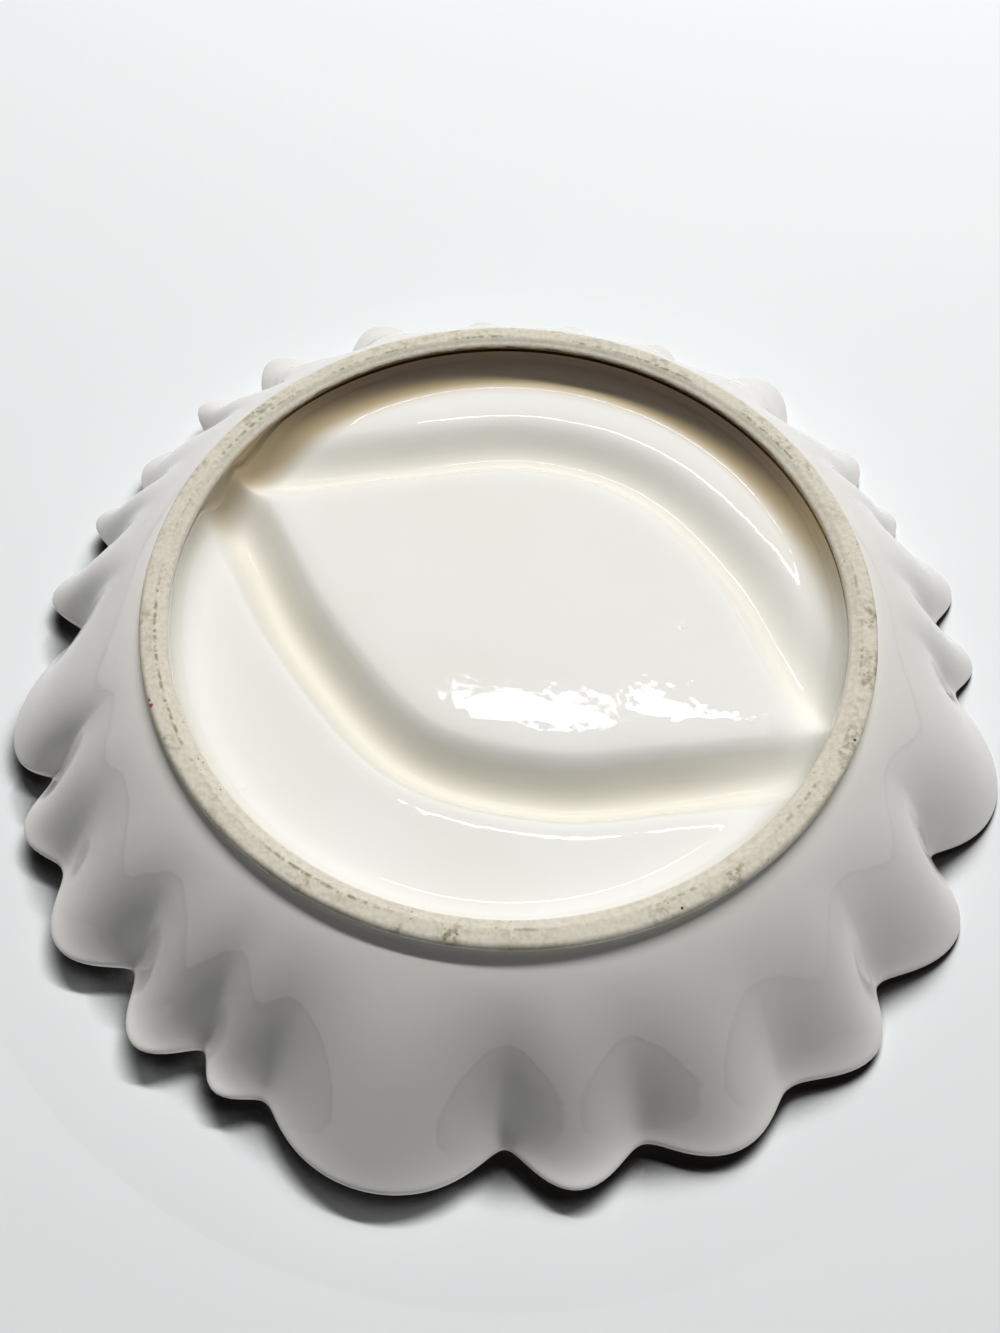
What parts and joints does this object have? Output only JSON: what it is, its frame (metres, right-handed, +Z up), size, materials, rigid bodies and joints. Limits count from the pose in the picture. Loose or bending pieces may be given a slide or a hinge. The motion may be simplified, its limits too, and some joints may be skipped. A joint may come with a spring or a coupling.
{
  "type": "candy dish",
  "caption": "Round glazed ceramic candy dish with a fluted petal-edged wall, curved dividers between leaf-shaped and crescent compartments, and a bare foot ring.",
  "frame": {"origin": "middle of the foot ring, on the plane it stands on", "axes": "+Z up out of the open dish, -Y towards the front compartment, +X to the right when looking along +Y"},
  "size_m": [0.2498, 0.2534, 0.044],
  "materials": {
    "glaze": "glossy white glaze with a faint cream tone",
    "bisque": "bare unglazed band, matt, with faint stains"
  },
  "bodies": {
    "root": {"fluted_wall": "glaze", "foot_ring": "bisque", "rear_divider": "glaze", "front_divider": "glaze", "rear_floor": "glaze", "centre_floor": "glaze", "front_floor": "glaze"}
  },
  "joints": []
}
